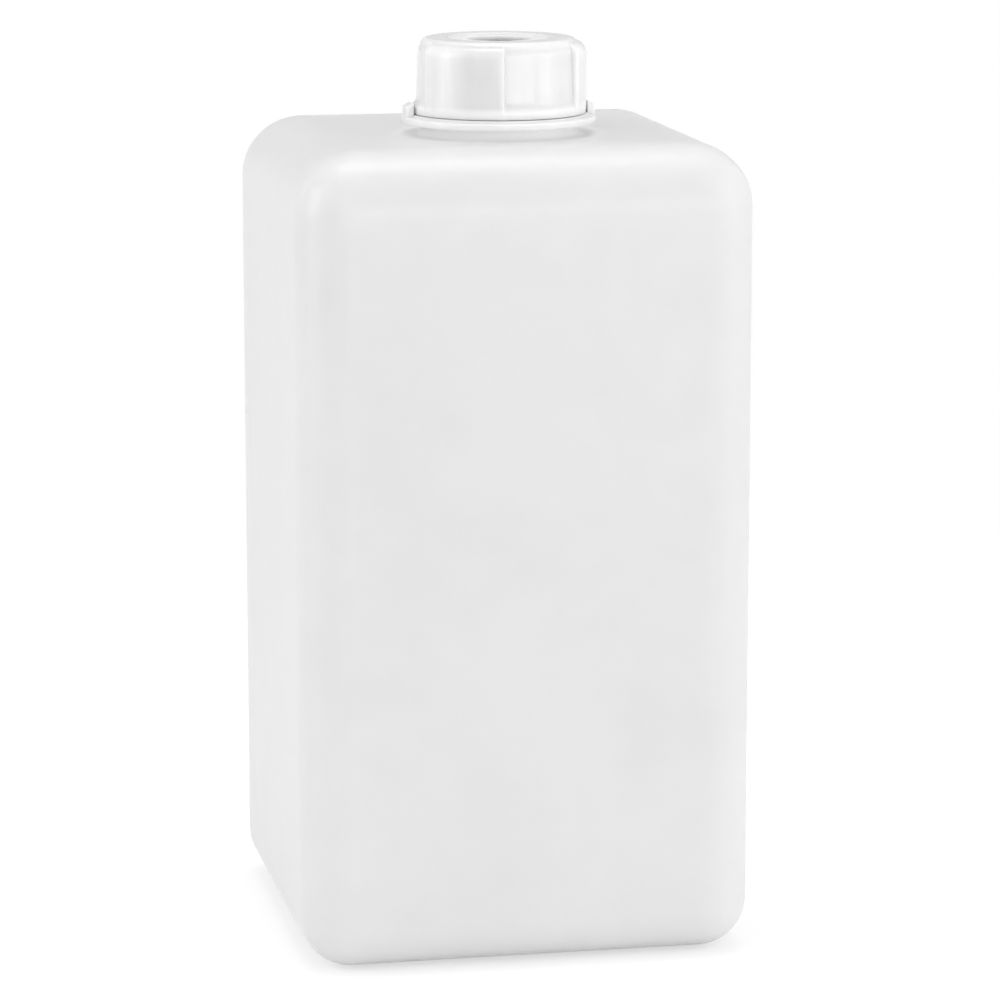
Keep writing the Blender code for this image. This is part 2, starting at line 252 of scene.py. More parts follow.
def place_at_neck(tree, place):
    """How far a point is from the axis of the neck, and how high."""
    from_axis = vectors(tree, "MULTIPLY_ADD", place, (1.0, 1.0, 0.0), (0.0, NECK_FORWARD, 0.0))
    away = add(tree, "ShaderNodeVectorMath", {0: from_axis}, operation="LENGTH").outputs["Value"]
    return away, add(tree, "ShaderNodeSeparateXYZ", {"Vector": place}).outputs["Z"]


def give_relief(tree, shader, height):
    """Raise the surface by a fine pattern, whose height is in metres."""
    relief = add(tree, "ShaderNodeBump", {"Height": height, "Strength": 1.0, "Distance": 1.0})
    tree.links.new(relief.outputs["Normal"], shader.inputs["Normal"])


def let_light_in(shader):
    """Milky plastic: light enters the wall and is scattered inside it."""
    shader.inputs["Subsurface Weight"].default_value = 1.0
    shader.inputs["Subsurface Radius"].default_value = (1.0, 1.0, 1.0)
    shader.inputs["IOR"].default_value = 1.5


def grey(tree, value):
    """A neutral colour from one value."""
    return add(tree, "ShaderNodeCombineColor", {"Red": value, "Green": value, "Blue": value}).outputs["Color"]


milky, tree, shader = blank_material("blown_polyethylene")
place = add(tree, "ShaderNodeTexCoord").outputs["Object"]
clouds = noise(tree, place, 34.0, 3.0)
patches = noise(tree, place, 120.0, 2.0)
grain = noise(tree, place, 2600.0, 1.0)
tone = maths(tree, "ADD", varied(tree, clouds, 0.74, 0.765), varied(tree, patches, -0.004, 0.004))
away, up = place_at_neck(tree, place)
about = eased(tree, away, 0.0165, 0.0225, 1.0, 0.0)
near_neck = maths(tree, "MULTIPLY", about, eased(tree, up, 0.1552, 0.1559, 0.0, 1.0))
# Painted light: the flat top and the root under the collar are made lighter, against the collar's shadow.
painted_light_round_neck = maths(tree, "MULTIPLY", near_neck, eased(tree, up, 0.1577, 0.1583, 0.21, 0.01))
tone = maths(tree, "ADD", tone, painted_light_round_neck)
tree.links.new(grey(tree, tone), shader.inputs["Base Color"])
rough = maths(tree, "ADD", varied(tree, clouds, 0.31, 0.37), varied(tree, grain, -0.02, 0.02))
tree.links.new(rough, shader.inputs["Roughness"])
depth = add(tree, "ShaderNodeSeparateXYZ", {"Vector": place}).outputs["Y"]
from_line = maths(tree, "ABSOLUTE", maths(tree, "ADD", depth, NECK_FORWARD))
line = eased(tree, from_line, 0.0, 0.00035, 1.0, 0.0)
wavy = maths(tree, "MULTIPLY", noise(tree, place, 22.0, 1.0), 0.00030)
ripple = maths(tree, "MULTIPLY", patches, 0.000018)
sand = maths(tree, "MULTIPLY", grain, 0.0000025)
fine = maths(tree, "MULTIPLY_ADD", line, 0.00004, sand)
give_relief(tree, shader, maths(tree, "ADD", maths(tree, "ADD", wavy, ripple), fine))
let_light_in(shader)
path = maths(tree, "MULTIPLY_ADD", near_neck, -0.0020, 0.0025)
tree.links.new(path, shader.inputs["Subsurface Scale"])
print(milky.name, "nodes:", len(tree.nodes))

# %% [markdown]
# ## The glossy polypropylene
#
# The cap is injected into a polished mould, so it is glossier than the bottle, and it is milky too. Each of
# the three grips is painted greyer, most towards its stepped end: a painted shade for the dim patch there.
# The tree that builds the cap stores that share as an attribute, and the material reads it. The bead round
# the foot is lighter. Faint streaks along the height are the flow of the plastic in the mould.

# %% Glossy polypropylene
glossy, tree, shader = blank_material("moulded_polypropylene")
place = add(tree, "ShaderNodeTexCoord").outputs["Object"]
drawn_out = add(tree, "ShaderNodeMapping", {"Vector": place, "Scale": (900.0, 900.0, 60.0)})
streaks = noise(tree, drawn_out.outputs["Vector"], 1.0, 2.0)
clouds = noise(tree, place, 160.0, 2.0)
# The grips get a darker grey, a painted shade that is deepest towards their stepped end.
grip_shade = add(tree, "ShaderNodeAttribute", attribute_name="grip").outputs["Fac"]
thin = varied(tree, clouds, 0.785, 0.805)
shaded_grip = varied(tree, clouds, 0.69, 0.715)
away, up = place_at_neck(tree, place)
bead_share = eased(tree, up, 0.1610, 0.1624, 1.0, 0.0)
grip_shade = maths(tree, "MULTIPLY", grip_shade, maths(tree, "SUBTRACT", 1.0, bead_share))
tone = add(tree, "ShaderNodeMix", {"Factor": grip_shade, 2: thin, 3: shaded_grip}).outputs[0]
tone = maths(tree, "MULTIPLY_ADD", bead_share, 0.07, tone)
near_hole = eased(tree, away, 0.0095, 0.0098, 1.0, 0.0)
ring = maths(tree, "MULTIPLY", near_hole, eased(tree, up, 0.1734, 0.1736, 0.0, 1.0))
tone = maths(tree, "MULTIPLY_ADD", ring, -0.02, tone)
tone = maths(tree, "ADD", tone, varied(tree, streaks, -0.008, 0.008))
tree.links.new(grey(tree, tone), shader.inputs["Base Color"])
rough = maths(tree, "MULTIPLY_ADD", ring, 0.40, varied(tree, clouds, 0.17, 0.23))
tree.links.new(rough, shader.inputs["Roughness"])
wavy = maths(tree, "MULTIPLY", clouds, 0.00003)
give_relief(tree, shader, maths(tree, "MULTIPLY_ADD", streaks, 0.000002, wavy))
let_light_in(shader)
shader.inputs["Subsurface Scale"].default_value = 0.0025
print(glossy.name, "nodes:", len(tree.nodes))

# %% [markdown]
# ## The foam of the sealing disc
#
# Through the hole in the cap one sees a soft disc that closes the mouth, painted a dark grey: a painted
# shade for the dim inside of the hole. Foam is made of closed cells a few tenths of a millimetre across,
# so its finish is a cell pattern with a shallow dimple in each cell.

# %% Foam
foam, tree, shader = blank_material("closed_cell_foam")
place = add(tree, "ShaderNodeTexCoord").outputs["Object"]
cells = add(tree, "ShaderNodeTexVoronoi", {"Vector": place, "Scale": 2600.0}).outputs["Distance"]
clouds = noise(tree, place, 300.0, 2.0)
# The low grey of the foam is painted shade for the dim inside of the hole.
tone = maths(tree, "ADD", varied(tree, clouds, 0.29, 0.33), eased(tree, cells, 0.0, 0.7, 0.01, -0.03))
tree.links.new(grey(tree, tone), shader.inputs["Base Color"])
tree.links.new(eased(tree, cells, 0.0, 0.7, 0.62, 0.78), shader.inputs["Roughness"])
give_relief(tree, shader, maths(tree, "MULTIPLY", cells, 0.00004))
print(foam.name, "nodes:", len(tree.nodes))

# %% [markdown]
# ## The wall of the bottle
#
# Body, neck, collar and the inside are one blown skin, so they are made as one surface. Its rule is simple:
# go up the bottle ring by ring. Low down each ring is a square with round corners, at the neck it is a
# circle set forward, and on the flat top it changes from one to the other. A box with a bevel could make
# the body, but not this change without a seam. So a row of seeds says what each ring is like, and a
# geometry tree lays a grid over the rings and puts every point where its ring says.

# %% A tree that draws a skin through rings
def ring_tree():
    """Reads seeds with height, half_x, half_y, corner, circle, roundness and sink, and draws the skin."""
    sizes = {"Columns": "NodeSocketInt", "Forward": "NodeSocketFloat", "Finish": "NodeSocketMaterial"}
    tree, given = geometry_tree("skin through rings", sizes)
    columns = maths(tree, "ADD", given["Columns"], 1.0)
    count = add(tree, "GeometryNodeAttributeDomainSize", {0: given["Geometry"]}).outputs["Point Count"]
    grid, ring, column = grid_over(tree, count, columns)

    def seed(name):
        return seed_value(tree, given, name, ring)

    per_side = maths(tree, "DIVIDE", given["Columns"], 4.0)
    side = maths(tree, "FLOOR", maths(tree, "DIVIDE", maths(tree, "ADD", column, 0.5), per_side))
    passed = maths(tree, "SUBTRACT", column, maths(tree, "MULTIPLY", side, per_side))
    along = maths(tree, "DIVIDE", passed, per_side)
    even = maths(tree, "MULTIPLY_ADD", along, 2.0, -1.0)
    to_corner = maths(tree, "SUBTRACT", 1.0, maths(tree, "ABSOLUTE", even))
    crowded = maths(tree, "SUBTRACT", 1.0, maths(tree, "MULTIPLY", to_corner, to_corner))
    across = maths(tree, "MULTIPLY", maths(tree, "SIGN", even), crowded)
    facing = maths(tree, "MULTIPLY", side, 0.5 * math.pi)
    unit = {0: maths(tree, "COSINE", facing), 1: maths(tree, "SINE", facing)}
    ahead = add(tree, "ShaderNodeCombineXYZ", unit)
    sideways = add(tree, "ShaderNodeVectorRotate", {"Vector": ahead.outputs[0], "Angle": 0.5 * math.pi})
    step = vectors(tree, "SCALE", sideways.outputs[0])
    tree.links.new(across, step.node.inputs["Scale"])
    on_square = vectors(tree, "ADD", ahead.outputs[0], step)

    half = add(tree, "ShaderNodeCombineXYZ", {0: seed("half_x"), 1: seed("half_y")}).outputs[0]
    corner = seed("corner")
    corners = add(tree, "ShaderNodeCombineXYZ", {0: corner, 1: corner}).outputs[0]
    inner = vectors(tree, "SUBTRACT", half, corners)
    wanted = vectors(tree, "MULTIPLY", on_square, half)
    held = vectors(tree, "MINIMUM", wanted, inner)
    held = vectors(tree, "MAXIMUM", held, vectors(tree, "MULTIPLY", inner, (-1.0, -1.0, -1.0)))
    beyond = vectors(tree, "NORMALIZE", vectors(tree, "SUBTRACT", wanted, held))
    square_point = vectors(tree, "ADD", held, vectors(tree, "MULTIPLY", beyond, corners))

    flat_share = maths(tree, "DIVIDE", across, 0.78)
    window = maths(tree, "SUBTRACT", 1.0, maths(tree, "MULTIPLY", flat_share, flat_share))
    window = maths(tree, "MAXIMUM", window, 0.0)
    dip = maths(tree, "MULTIPLY", maths(tree, "MULTIPLY", window, window), seed("sink"))
    pull = vectors(tree, "SCALE", ahead.outputs[0])
    tree.links.new(maths(tree, "MULTIPLY", dip, -1.0), pull.node.inputs["Scale"])
    square_point = vectors(tree, "ADD", square_point, pull)

    turn = maths(tree, "MULTIPLY_ADD", even, 0.25 * math.pi, facing)
    circle_x, circle_y = about_axis(tree, given, turn, seed("circle"))
    circle_point = add(tree, "ShaderNodeCombineXYZ", {0: circle_x, 1: circle_y}).outputs[0]
    mixing = {"Factor": seed("roundness"), 4: square_point, 5: circle_point}
    flat_point = add(tree, "ShaderNodeMix", mixing, data_type="VECTOR").outputs[1]
    raised = add(tree, "ShaderNodeCombineXYZ", {2: seed("height")}).outputs[0]
    moved = {"Geometry": grid, "Position": vectors(tree, "ADD", flat_point, raised)}
    skin = add(tree, "GeometryNodeSetPosition", moved).outputs["Geometry"]
    finish_tree(tree, skin, given["Finish"])
    return tree


skin_tree = ring_tree()
print(skin_tree.name, "nodes:", len(skin_tree.nodes))

# %% [markdown]
# The sizes below are those of the engineer's model. The base stands on a low foot ring, and inside it a
# panel is pushed up, so that the bottle doesn't rock. The flat walls sink in by a fifth of a millimetre,
# as blown walls do when they cool.

# %% Sizes of the body
BODY_WIDTH = 0.0870
BODY_DEPTH = 0.0850
FOOT_HEIGHT = 0.0004
BODY_TOP = 0.1559
UPRIGHT_EDGE = 0.0096
TOP_EDGE = 0.0119
BASE_EDGE = 0.0096
WALL = 0.0011
WALL_SINK = 0.0002
PANEL_RISE = 0.0016


def square_ring(height, inset, corner, sink=0.0):
    """A ring that is a square with round corners, set in from the body's outline."""
    half_x = max(0.5 * BODY_WIDTH - inset, 0.0)
    half_y = max(0.5 * BODY_DEPTH - inset, 0.0)
    return {
        "height": height, "half_x": half_x, "half_y": half_y, "corner": corner,
        "circle": 0.0, "roundness": 0.0, "sink": sink,
    }


def round_ring(height, radius):
    """A ring that is a circle about the neck's axis."""
    return {
        "height": height, "half_x": 0.0, "half_y": 0.0, "corner": 0.0,
        "circle": radius, "roundness": 1.0, "sink": 0.0,
    }


def steps(count):
    """Shares from just above 0 to 1."""
    return [number / count for number in range(1, count + 1)]


def edge_rings(wall, height, radius, upward, count):
    """Rings round the soft edge between the walls and the top or the base."""
    rings = []
    for share in steps(count):
        turn = 0.5 * math.pi * share
        into = radius * (1.0 - math.cos(turn))
        corner = (UPRIGHT_EDGE - wall) * (1.0 - into / radius)
        rings.append(square_ring(height + upward * radius * math.sin(turn), wall + into, corner))
    return rings


base_outside = [
    square_ring(FOOT_HEIGHT, 0.0096, 0.0),
    square_ring(FOOT_HEIGHT, 0.0100, 0.0067),
    square_ring(0.00012, 0.0102, 0.0065),
    square_ring(0.0, 0.01045, 0.0063),
    square_ring(0.0, 0.0125, 0.0042),
    square_ring(0.0, 0.01445, 0.0023),
    square_ring(0.00012, 0.0147, 0.0020),
    square_ring(FOOT_HEIGHT, 0.0150, 0.0020),
]
for share in steps(8):
    rise = PANEL_RISE * share * share * (3.0 - 2.0 * share)
    base_outside.append(square_ring(FOOT_HEIGHT + rise, 0.0150 + 0.0031 * share, 0.0022))
for inset in (0.022, 0.028, 0.035, 0.0434):
    base_outside.append(square_ring(FOOT_HEIGHT + PANEL_RISE, inset, 0.0))
print("rings under the base:", len(base_outside))

# %% [markdown]
# The neck follows the same rings. Its root is a soft flare under the collar. The collar is a thin flange
# that holds the bottle in the filling line, with a low seat on it under the cap, and above it the plain wall
# goes up to the lip. Then the rings turn inwards and go down the bore and round the inside of the wall, so
# that the skin closes on itself.

# %% Rings from the base to the lip and back inside
NECK_RADIUS = 0.0125
BORE_RADIUS = 0.0107
ROOT_RADIUS = 0.0146
COLLAR_RADIUS = 0.01855
COLLAR_BOTTOM = 0.1580
COLLAR_TOP = 0.1594
NECK_TOP = 0.1717


def arc_rings(centre_radius, centre_height, radius, start, end, count):
    """Round rings along an arc of the neck's profile, from one angle to another in degrees."""
    rings = []
    for share in [0.0] + steps(count):
        turn = math.radians(start + (end - start) * share)
        rise, out = radius * math.sin(turn), radius * math.cos(turn)
        rings.append(round_ring(centre_height + rise, centre_radius + out))
    return rings


def top_rings(height, inset, radius, count, outwards):
    """Rings on the flat top, which change from the square edge to the circle round the neck."""
    rings = []
    for share in steps(count):
        ring = square_ring(height, inset, 0.0)
        ring["circle"] = radius
        ring["roundness"] = share
        rings.append(ring)
    return rings[::-1] if outwards else rings


def wall_rings(inset, corner, low, high, count, upward):
    """Rings up a flat wall, sunk in most at half height."""
    rings = []
    for share in [0.0] + steps(count):
        sink = WALL_SINK * math.sin(math.pi * share) ** 2
        rings.append(square_ring(low + (high - low) * share, inset, corner, sink))
    return rings if upward else rings[::-1]


outside = base_outside[::-1]
outside += edge_rings(0.0, FOOT_HEIGHT + BASE_EDGE, BASE_EDGE, -1.0, 10)[:-1][::-1]
outside += wall_rings(0.0, UPRIGHT_EDGE, FOOT_HEIGHT + BASE_EDGE, BODY_TOP - TOP_EDGE, 22, True)
outside += edge_rings(0.0, BODY_TOP - TOP_EDGE, TOP_EDGE, 1.0, 14)
outside += top_rings(BODY_TOP, TOP_EDGE, ROOT_RADIUS + 0.0021, 9, False)[:-1]
neck = arc_rings(ROOT_RADIUS + 0.0021, BODY_TOP + 0.0021, 0.0021, 270.0, 180.0, 8)
neck += arc_rings(ROOT_RADIUS + 0.0002, COLLAR_BOTTOM - 0.0002, 0.0002, 180.0, 90.0, 2)
neck += arc_rings(COLLAR_RADIUS - 0.0006, COLLAR_BOTTOM + 0.0006, 0.0006, -90.0, 0.0, 6)
neck += arc_rings(COLLAR_RADIUS - 0.0003, COLLAR_TOP - 0.0003, 0.0003, 0.0, 90.0, 4)
seat = ((0.0, 0.01725), (0.00012, 0.01710), (0.00032, 0.01695), (0.00038, 0.01675))
seat += ((0.00038, 0.0145), (0.00030, 0.0143), (0.0, 0.0142))
neck += [round_ring(COLLAR_TOP + rise, radius) for rise, radius in seat]
neck += arc_rings(NECK_RADIUS + 0.0004, COLLAR_TOP + 0.0004, 0.0004, 270.0, 180.0, 4)
wall_foot = COLLAR_TOP + 0.0004
wall_head = NECK_TOP - 0.0005
neck += [round_ring(wall_foot + (wall_head - wall_foot) * share, NECK_RADIUS) for share in steps(11)]
neck += arc_rings(NECK_RADIUS - 0.0005, NECK_TOP - 0.0005, 0.0005, 0.0, 90.0, 4)[1:]
neck += arc_rings(BORE_RADIUS + 0.0004, NECK_TOP - 0.0004, 0.0004, 90.0, 180.0, 4)
inside_top = BODY_TOP - WALL
inside = [round_ring(inside_top + 0.0012 + 0.0145 * (1.0 - share), BORE_RADIUS) for share in steps(6)]
inside += arc_rings(BORE_RADIUS + 0.0012, inside_top + 0.0012, 0.0012, 180.0, 270.0, 4)[1:]
inside += top_rings(inside_top, TOP_EDGE, BORE_RADIUS + 0.0012, 6, True)[1:]
inside += edge_rings(WALL, BODY_TOP - TOP_EDGE, TOP_EDGE - WALL, 1.0, 8)[::-1]
inside += wall_rings(WALL, UPRIGHT_EDGE - WALL, FOOT_HEIGHT + BASE_EDGE, BODY_TOP - TOP_EDGE, 12, False)
inside += edge_rings(WALL, FOOT_HEIGHT + BASE_EDGE, BASE_EDGE - WALL, -1.0, 8)
for share in steps(6):
    rise = PANEL_RISE * share * share * (3.0 - 2.0 * share)
    inside.append(square_ring(FOOT_HEIGHT + WALL + rise, 0.0140 + 0.0036 * share, 0.0015))
for inset in (0.022, 0.032, 0.0434):
    inside.append(square_ring(FOOT_HEIGHT + WALL + PANEL_RISE, inset, 0.0))
bottle_rings = outside + neck + inside
print("rings of the bottle:", len(bottle_rings))

# %% Grow the bottle's skin
bottle = grown(
    "moulded_bottle",
    seed_mesh("bottle_rings", bottle_rings),
    skin_tree,
    {"Columns": 160, "Forward": NECK_FORWARD, "Finish": milky},
)

# %% [markdown]
# ## Threads
#
# The neck carries one and a half turns of a blunt ridge, and the cap has its partner inside. A ridge is
# its section swept along a helix, sinking into the wall at both ends so that the cap can start on it. One
# tree does both: the way it points and its sizes are inputs.

# %% A tree that sweeps a ridge along a helix
THREAD_PITCH = 0.0042
THREAD_DEPTH = 0.0011
THREAD_FOOT = 0.0021
THREAD_CREST = 0.0007


def helix_tree():
    """Reads seeds with out and rise, the ridge's section, and sweeps them up a helix."""
    sizes = {
        "Steps": "NodeSocketInt", "Turns": "NodeSocketFloat", "Pitch": "NodeSocketFloat",
        "Radius": "NodeSocketFloat", "Depth": "NodeSocketFloat", "Sink": "NodeSocketFloat",
        "Start": "NodeSocketFloat", "Way": "NodeSocketFloat", "Run Out": "NodeSocketFloat",
        "Forward": "NodeSocketFloat", "Finish": "NodeSocketMaterial",
    }
    tree, given = geometry_tree("ridge along a helix", sizes)
    count = add(tree, "GeometryNodeAttributeDomainSize", {0: given["Geometry"]}).outputs["Point Count"]
    round_it = maths(tree, "ADD", count, 1.0)
    rows = maths(tree, "ADD", given["Steps"], 1.0)
    grid, row, column = grid_over(tree, rows, round_it)
    point = maths(tree, "MODULO", column, count)

    def seed(name):
        return seed_value(tree, given, name, point)

    full_turn = maths(tree, "MULTIPLY", given["Turns"], 2.0 * math.pi)
    turn = maths(tree, "MULTIPLY", maths(tree, "DIVIDE", row, given["Steps"]), full_turn)
    from_end = maths(tree, "MINIMUM", turn, maths(tree, "SUBTRACT", full_turn, turn))
    fade = eased(tree, from_end, 0.0, given["Run Out"], 0.0, 1.0)
    rows_left = maths(tree, "MINIMUM", row, maths(tree, "SUBTRACT", given["Steps"], row))
    opened = maths(tree, "MINIMUM", rows_left, 1.0)
    deep = maths(tree, "MULTIPLY", given["Depth"], fade)
    half_sink = maths(tree, "MULTIPLY", given["Sink"], 0.5)
    buried = maths(tree, "MULTIPLY", maths(tree, "SUBTRACT", 1.0, fade), half_sink)
    crest = maths(tree, "ADD", maths(tree, "SUBTRACT", deep, buried), given["Sink"])
    stands = maths(tree, "MULTIPLY", maths(tree, "MULTIPLY", seed("out"), crest), opened)
    stands = maths(tree, "SUBTRACT", stands, given["Sink"])
    radius = maths(tree, "MULTIPLY_ADD", stands, given["Way"], given["Radius"])
    climb = maths(tree, "MULTIPLY", maths(tree, "DIVIDE", turn, 2.0 * math.pi), given["Pitch"])
    height = maths(tree, "ADD", maths(tree, "MULTIPLY_ADD", seed("rise"), opened, climb), given["Start"])
    x, y = about_axis(tree, given, turn, radius)
    spot = add(tree, "ShaderNodeCombineXYZ", {0: x, 1: y, 2: height}).outputs[0]
    ridge = add(tree, "GeometryNodeSetPosition", {"Geometry": grid, "Position": spot}).outputs["Geometry"]
    finish_tree(tree, ridge, given["Finish"])
    return tree


def ridge_section(foot, crest):
    """A blunt wedge with soft shoulders: how far each point stands out, from 0 to 1, and its rise."""
    half = [(0.0, 0.5 * foot), (0.55, 0.5 * crest + 0.45 * 0.5 * (foot - crest))]
    half += [(0.86, 0.5 * crest + 0.00011), (0.97, 0.5 * crest - 0.00002), (1.0, 0.5 * crest - 0.00014)]
    lower = [{"out": out, "rise": -rise} for out, rise in half]
    upper = [{"out": out, "rise": rise} for out, rise in half[::-1]]
    return lower + upper


ridge_tree = helix_tree()
print(ridge_tree.name, "nodes:", len(ridge_tree.nodes))

# %% The thread on the neck
section = seed_mesh("ridge_section", ridge_section(THREAD_FOOT, THREAD_CREST))
neck_ridge = grown(
    "neck_ridge",
    section,
    ridge_tree,
    {
        "Steps": 96, "Turns": 1.5, "Pitch": THREAD_PITCH, "Radius": NECK_RADIUS, "Depth": THREAD_DEPTH,
        "Sink": 0.0003, "Start": 0.16325, "Way": 1.0, "Run Out": math.radians(25), "Forward": NECK_FORWARD,
        "Finish": milky,
    },
)

# %% [markdown]
# ## Lugs and pinch line
#
# The two halves of the mould meet in a plane through the neck's axis. There the collar has an ear on each
# side, whose top rises towards the cap. Under the base, the same plane shows as the pinch line, where the
# mould closed the soft tube of plastic. Both are small blocks with bevelled edges, united with the wall.

# %% Lugs on the collar and the pinch line under the base
def bevelled_block(name, outline, thickness, soft):
    """An outline in X and Z, drawn out along Y about the neck's plane, with bevelled edges."""
    bm = bmesh.new()
    face = bm.faces.new([bm.verts.new((x, -0.5 * thickness - NECK_FORWARD, z)) for x, z in outline])
    drawn = bmesh.ops.extrude_face_region(bm, geom=[face])
    tips = [item for item in drawn["geom"] if isinstance(item, bmesh.types.BMVert)]
    bmesh.ops.translate(bm, vec=(0.0, thickness, 0.0), verts=tips)
    bmesh.ops.bevel(bm, geom=bm.edges[:], offset=soft, segments=3, profile=0.5, affect="EDGES")
    bmesh.ops.recalc_face_normals(bm, faces=bm.faces)
    mesh = bpy.data.meshes.new(name)
    bm.to_mesh(mesh)
    bm.free()
    mesh.materials.append(milky)
    made = bpy.data.objects.new(name, mesh)
    bpy.context.scene.collection.objects.link(made)
    return made


LUG_IN = 0.01685
LUG_OUT = 0.01825
lugs = []
for way, name in ((-1.0, "lug_left"), (1.0, "lug_right")):
    corners = (
        (way * LUG_IN, COLLAR_TOP - 0.0007),
        (way * LUG_OUT, COLLAR_TOP - 0.0007),
        (way * LUG_OUT, COLLAR_TOP + 0.0019),
        (way * LUG_IN, COLLAR_TOP + 0.0026),
    )
    lugs.append(bevelled_block(name, corners, 0.0046, 0.00018))
panel_face = FOOT_HEIGHT + PANEL_RISE
corners = ((-0.0190, panel_face - 0.0003), (0.0190, panel_face - 0.0003))
corners += ((0.0195, panel_face + 0.0004), (-0.0195, panel_face + 0.0004))
pinch_line = bevelled_block("pinch_line", corners, 0.0007, 0.00012)
joined_solid(bottle, [neck_ridge, *lugs, pinch_line])

# %% [markdown]
# ## The screw cap
#
# The cap has two outlines. Between the grips its skirt steps back under a soft shoulder and widens a
# little downwards. At a grip it stands 1.2 mm further out, with a round top. Both outlines have the same
# number of points, so each point of the cap can be a mix of the two: all of one in the middle of a grip,
# all of the other between the grips, and a quick change at a grip's edge. The tree keeps an attribute for
# the material: how much painted shade the grip gets, from nothing between the grips to 1 towards one end
# of each grip.

# %% A tree that turns two outlines into a cap
def cap_tree():
    """Reads seeds with radius, height, grip_radius, grip_height and share, and turns them about the axis."""
    sizes = {
        "Columns": "NodeSocketInt", "Grips": "NodeSocketInt", "Half Angle": "NodeSocketFloat",
        "First Middle": "NodeSocketFloat", "Edge": "NodeSocketFloat", "Forward": "NodeSocketFloat",
        "Finish": "NodeSocketMaterial",
    }
    tree, given = geometry_tree("cap from two outlines", sizes)
    columns = maths(tree, "ADD", given["Columns"], 1.0)
    count = add(tree, "GeometryNodeAttributeDomainSize", {0: given["Geometry"]}).outputs["Point Count"]
    grid, ring, column = grid_over(tree, count, columns)

    def seed(name):
        return seed_value(tree, given, name, ring)

    turn = maths(tree, "MULTIPLY", maths(tree, "DIVIDE", column, given["Columns"]), 2.0 * math.pi)
    part = maths(tree, "DIVIDE", 2.0 * math.pi, given["Grips"])
    half_part = maths(tree, "MULTIPLY", part, 0.5)
    shifted = maths(tree, "ADD", maths(tree, "SUBTRACT", turn, given["First Middle"]), half_part)
    parts_before = maths(tree, "FLOOR", maths(tree, "DIVIDE", shifted, part))
    wrapped = maths(tree, "SUBTRACT", shifted, maths(tree, "MULTIPLY", parts_before, part))
    from_middle = maths(tree, "SUBTRACT", wrapped, half_part)
    away = maths(tree, "ABSOLUTE", from_middle)
    half_edge = maths(tree, "MULTIPLY", given["Edge"], 0.5)
    edge_start = maths(tree, "SUBTRACT", given["Half Angle"], half_edge)
    edge_end = maths(tree, "ADD", given["Half Angle"], half_edge)
    in_grip = eased(tree, away, edge_start, edge_end, 1.0, 0.0)
    mix = maths(tree, "MULTIPLY", in_grip, seed("share"))
    radius = add(tree, "ShaderNodeMix", {"Factor": mix, 2: seed("radius"), 3: seed("grip_radius")}).outputs[0]
    height = add(tree, "ShaderNodeMix", {"Factor": mix, 2: seed("height"), 3: seed("grip_height")}).outputs[0]
    x, y = about_axis(tree, given, turn, radius)
    spot = add(tree, "ShaderNodeCombineXYZ", {0: x, 1: y, 2: height}).outputs[0]
    # Painted shade: the grip's share grows towards its stepped end, and the material darkens the grip by it.
    step_shade = eased(tree, from_middle, -0.30, 0.20, 0.1, 1.0)
    named = {"Geometry": grid, "Name": "grip", "Value": maths(tree, "MULTIPLY", mix, step_shade)}
    kept = add(tree, "GeometryNodeStoreNamedAttribute", named, data_type="FLOAT", domain="POINT")
    moved = {"Geometry": kept.outputs["Geometry"], "Position": spot}
    shaped = add(tree, "GeometryNodeSetPosition", moved).outputs["Geometry"]
    finish_tree(tree, shaped, given["Finish"])
    return tree


grip_tree = cap_tree()
print(grip_tree.name, "nodes:", len(grip_tree.nodes))

# %% The cap's two outlines
CAP_TOP = 0.1742
CAP_CEILING = 0.1729
CAP_BOTTOM = 0.1599
CAP_BORE = 0.0140
CAP_RIM = 0.0150
SKIRT_TOP = 0.0155
SKIRT_BOTTOM = 0.01576
BEAD = 0.0166
BEAD_TOP = CAP_BOTTOM + 0.0019
GRIP = 0.0167
HOLE = 0.0061
SHOULDER = 0.0014
SKIRT_START = CAP_TOP - 0.0029


def arc_points(centre_radius, centre_height, radius, start, end, count):
    """Points of an arc of an outline, as pairs of radius and height."""
    turns = [math.radians(start + (end - start) * number / count) for number in range(count + 1)]
    return [
        (centre_radius + radius * math.cos(turn), centre_height + radius * math.sin(turn)) for turn in turns
    ]


def line_points(start, end, count):
    """Points of a straight stretch, without its first."""
    return [tuple(a + (b - a) * share for a, b in zip(start, end)) for share in steps(count)]


top = arc_points(HOLE + 0.0002, CAP_TOP - 0.00045, 0.0002, 180.0, 90.0, 4)
top += line_points((HOLE + 0.0002, CAP_TOP - 0.00025), (0.0094, CAP_TOP - 0.00025), 5)
top += [(0.00955, CAP_TOP - 0.00020), (0.00970, CAP_TOP - 0.00005), (0.00985, CAP_TOP)]
top += line_points((0.00985, CAP_TOP), (CAP_RIM - SHOULDER, CAP_TOP), 5)
shoulder = arc_points(CAP_RIM - SHOULDER, CAP_TOP - SHOULDER, SHOULDER, 90.0, 40.0, 7)[1:]
plain = arc_points(CAP_RIM - SHOULDER, CAP_TOP - SHOULDER, SHOULDER, 40.0, 24.0, 3)
plain += [(0.01494, CAP_TOP - 0.00105), (0.01502, CAP_TOP - 0.00130), (0.01510, CAP_TOP - 0.00150)]
plain += [(0.01520, CAP_TOP - 0.00170), (0.01531, CAP_TOP - 0.00188), (0.01540, CAP_TOP - 0.00208)]
plain += [(0.01547, CAP_TOP - 0.00232), (SKIRT_TOP, CAP_TOP - 0.0026)]
plain += [(SKIRT_TOP + 0.00002, SKIRT_START)]
ear = [shoulder[-1]] + [
    (GRIP - 0.0024 + 0.0024 * math.cos(turn), SKIRT_START + 0.0023 * math.sin(turn))
    for turn in [math.radians(77.0 * (1.0 - share)) for share in steps(12)]
]
print("points between shoulder and skirt:", len(plain), len(ear))

